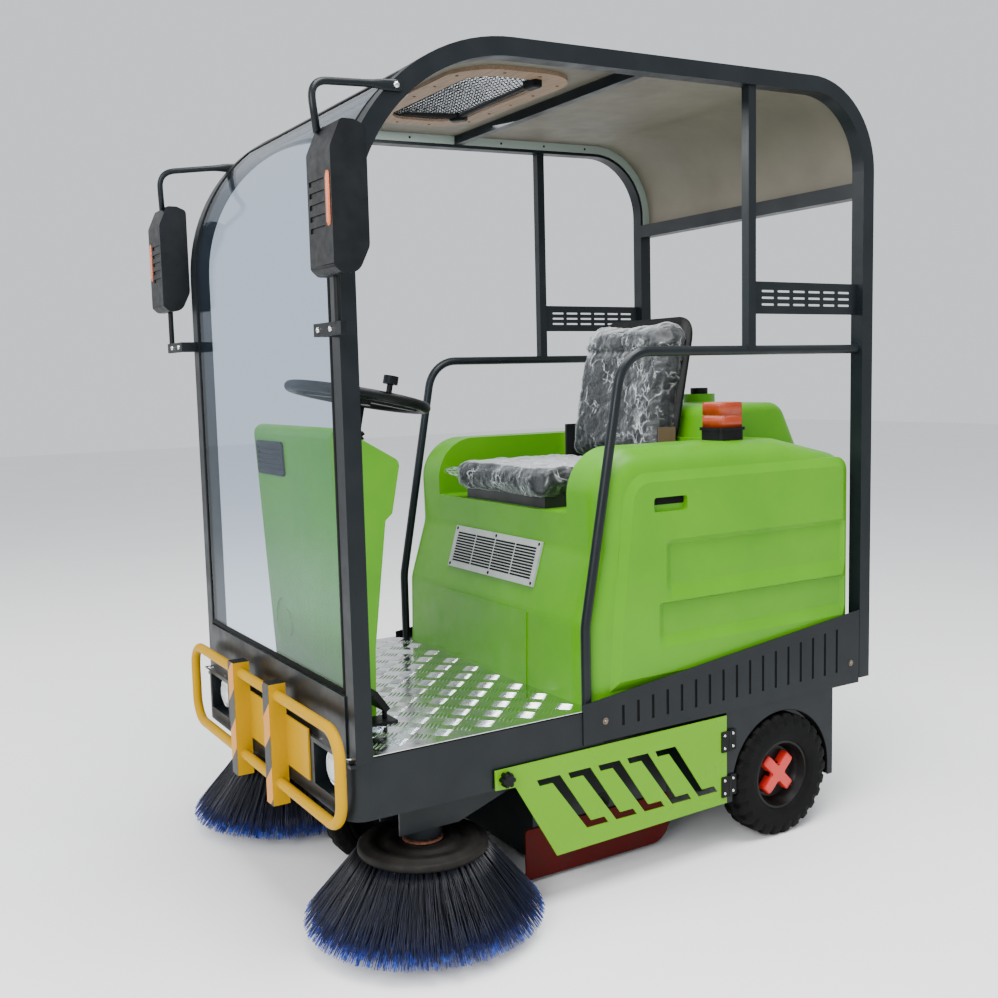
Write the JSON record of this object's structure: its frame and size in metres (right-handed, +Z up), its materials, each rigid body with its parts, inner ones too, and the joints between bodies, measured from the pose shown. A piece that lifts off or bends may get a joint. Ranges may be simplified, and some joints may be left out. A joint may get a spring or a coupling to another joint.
{
  "type": "compact road sweeper",
  "caption": "Ride-on road sweeper with an open bent-tube cab, moulded body, steered front wheel, swinging side brushes, roller broom and pull-out hopper.",
  "frame": {"origin": "on the floor under the middle of the machine's length and width", "axes": "+Z up, -Y towards the front, +X towards the machine's left side"},
  "size_m": [1.38, 1.664, 1.9989],
  "materials": {
    "frame_paint": "dark slate-grey powder coat",
    "floor_aluminium": "bright chequer plate",
    "roof_paint": "beige-grey paint",
    "plywood": "bare plywood",
    "screen_metal": "bright woven screen",
    "clear_sheet": "clear sheet with a faint blue tint",
    "body_green": "rotomoulded polyethylene, satin",
    "door_green": "gloss paint",
    "bright_metal": "bright plated",
    "grille_metal": "light grey paint",
    "black_rubber": "moulded rubber",
    "black_plastic": "fine grained",
    "seat_metal": "tan paint",
    "seat_vinyl": "grey-black vinyl under clear film",
    "amber_lens": "ribbed amber lens",
    "guard_yellow": "gloss paint with stripes on the posts",
    "battery_case": "moulded case",
    "bristle": "nylon bristles",
    "tyre": "worn black rubber",
    "rim_metal": "silver paint, red clamp",
    "lamp_glass": "clear lamp glass over a reflector",
    "red_rubber": "dark red sheet rubber"
  },
  "bodies": {
    "chassis": {"chassis_frame": "frame_paint", "front_fascia": "frame_paint", "front_roof_bar": "frame_paint", "roof_beam": "frame_paint", "rear_roof_bar": "frame_paint", "floor_plate": "floor_aluminium", "roof_panel": "roof_paint", "hatch_ring": "plywood", "hatch_screen": "screen_metal", "windscreen": "clear_sheet", "console": "body_green", "console_vent": "bright_metal", "steering_column": "black_rubber", "brake_pedal": "black_plastic", "rear_body": "body_green", "tank_cap": "black_plastic", "grille": "grille_metal", "seat_base": "seat_metal", "seat_cushion": "seat_vinyl", "seat_back": "seat_vinyl", "beacon_base": "black_plastic", "beacon_lens": "amber_lens", "bumper_guard": "guard_yellow", "battery_block": "battery_case", "broom_housing": "frame_paint", "cab_hoop_left": "frame_paint", "cab_hoop_right": "frame_paint", "side_frame_left": "frame_paint", "side_frame_right": "frame_paint", "mirror_left": "black_plastic", "mirror_right": "black_plastic", "skirt_left": "frame_paint", "skirt_right": "frame_paint", "arch_panel_left": "frame_paint", "arch_panel_right": "frame_paint", "headlamp_left": "lamp_glass", "headlamp_right": "lamp_glass", "axle_bracket_left": "frame_paint", "axle_bracket_right": "frame_paint", "side_flap_left": "red_rubber", "side_flap_right": "red_rubber"},
    "front_fork": {"front_fork": "frame_paint"},
    "front_wheel": {"front_tyre": "tyre", "front_rim": "rim_metal"},
    "steering_wheel": {"steering_wheel": "black_plastic"},
    "roller_brush": {"roller_brush": "bristle"},
    "hatch_cover": {"hatch_cover": "roof_paint"},
    "dust_hopper": {"dust_hopper": "frame_paint"},
    "rear_wheel_left": {"rear_tyre_left": "tyre", "rear_rim_left": "rim_metal"},
    "brush_arm_left": {"side_brush_arm_left": "frame_paint"},
    "side_brush_left": {"side_brush_left": "bristle"},
    "side_door_left": {"side_door_left": "door_green"},
    "rear_wheel_right": {"rear_tyre_right": "tyre", "rear_rim_right": "rim_metal"},
    "brush_arm_right": {"side_brush_arm_right": "frame_paint"},
    "side_brush_right": {"side_brush_right": "bristle"},
    "side_door_right": {"side_door_right": "door_green"}
  },
  "joints": [
    {"name": "steer", "type": "hinge", "parent": "chassis", "child": "front_fork", "pos_m": [0, -0.485, 0.285], "axis": [0, 0, 1], "range_deg": [-60, 60]},
    {"name": "front_wheel_spin", "type": "hinge", "parent": "front_fork", "child": "front_wheel", "pos_m": [0, -0.485, 0.13], "axis": [1, 0, 0], "continuous": true},
    {"name": "steering_wheel_turn", "type": "hinge", "parent": "chassis", "child": "steering_wheel", "pos_m": [0, -0.485, 1.205], "axis": [0, 0.2079, 0.9781], "range_deg": [-180, 180]},
    {"name": "rear_wheel_left_spin", "type": "hinge", "parent": "chassis", "child": "rear_wheel_left", "pos_m": [0.4615, 0.491, 0.166], "axis": [1, 0, 0], "continuous": true},
    {"name": "brush_arm_left_lower", "type": "hinge", "parent": "chassis", "child": "brush_arm_left", "pos_m": [0.405, -0.3, 0.335], "axis": [1, 0, 0], "range_deg": [0, 3.5]},
    {"name": "side_brush_left_spin", "type": "hinge", "parent": "brush_arm_left", "child": "side_brush_left", "pos_m": [0.41, -0.552, 0.2], "axis": [0, 0, 1], "continuous": true},
    {"name": "side_door_left_open", "type": "hinge", "parent": "chassis", "child": "side_door_left", "pos_m": [0.5, 0.296, 0.238], "axis": [0, 0, 1], "range_deg": [0, 100]},
    {"name": "rear_wheel_right_spin", "type": "hinge", "parent": "chassis", "child": "rear_wheel_right", "pos_m": [-0.4615, 0.491, 0.166], "axis": [1, 0, 0], "continuous": true},
    {"name": "brush_arm_right_lower", "type": "hinge", "parent": "chassis", "child": "brush_arm_right", "pos_m": [-0.405, -0.3, 0.335], "axis": [1, 0, 0], "range_deg": [0, 3.5]},
    {"name": "side_brush_right_spin", "type": "hinge", "parent": "brush_arm_right", "child": "side_brush_right", "pos_m": [-0.41, -0.552, 0.2], "axis": [0, 0, 1], "continuous": true},
    {"name": "side_door_right_open", "type": "hinge", "parent": "chassis", "child": "side_door_right", "pos_m": [-0.5, 0.296, 0.238], "axis": [0, 0, -1], "range_deg": [0, 100]},
    {"name": "roller_spin", "type": "hinge", "parent": "chassis", "child": "roller_brush", "pos_m": [0, -0.015, 0.16], "axis": [1, 0, 0], "continuous": true},
    {"name": "hatch_open", "type": "hinge", "parent": "chassis", "child": "hatch_cover", "pos_m": [0, -0.29218, 1.98072], "axis": [1, 0, 0], "range_deg": [0, 30]},
    {"name": "hopper_pull", "type": "slide", "parent": "chassis", "child": "dust_hopper", "axis": [0, 1, 0], "range_m": [0, 0.35]}
  ],
  "couplings": [
    {"joint": "steering_wheel_turn", "follows": "steer", "ratio": 3}
  ]
}
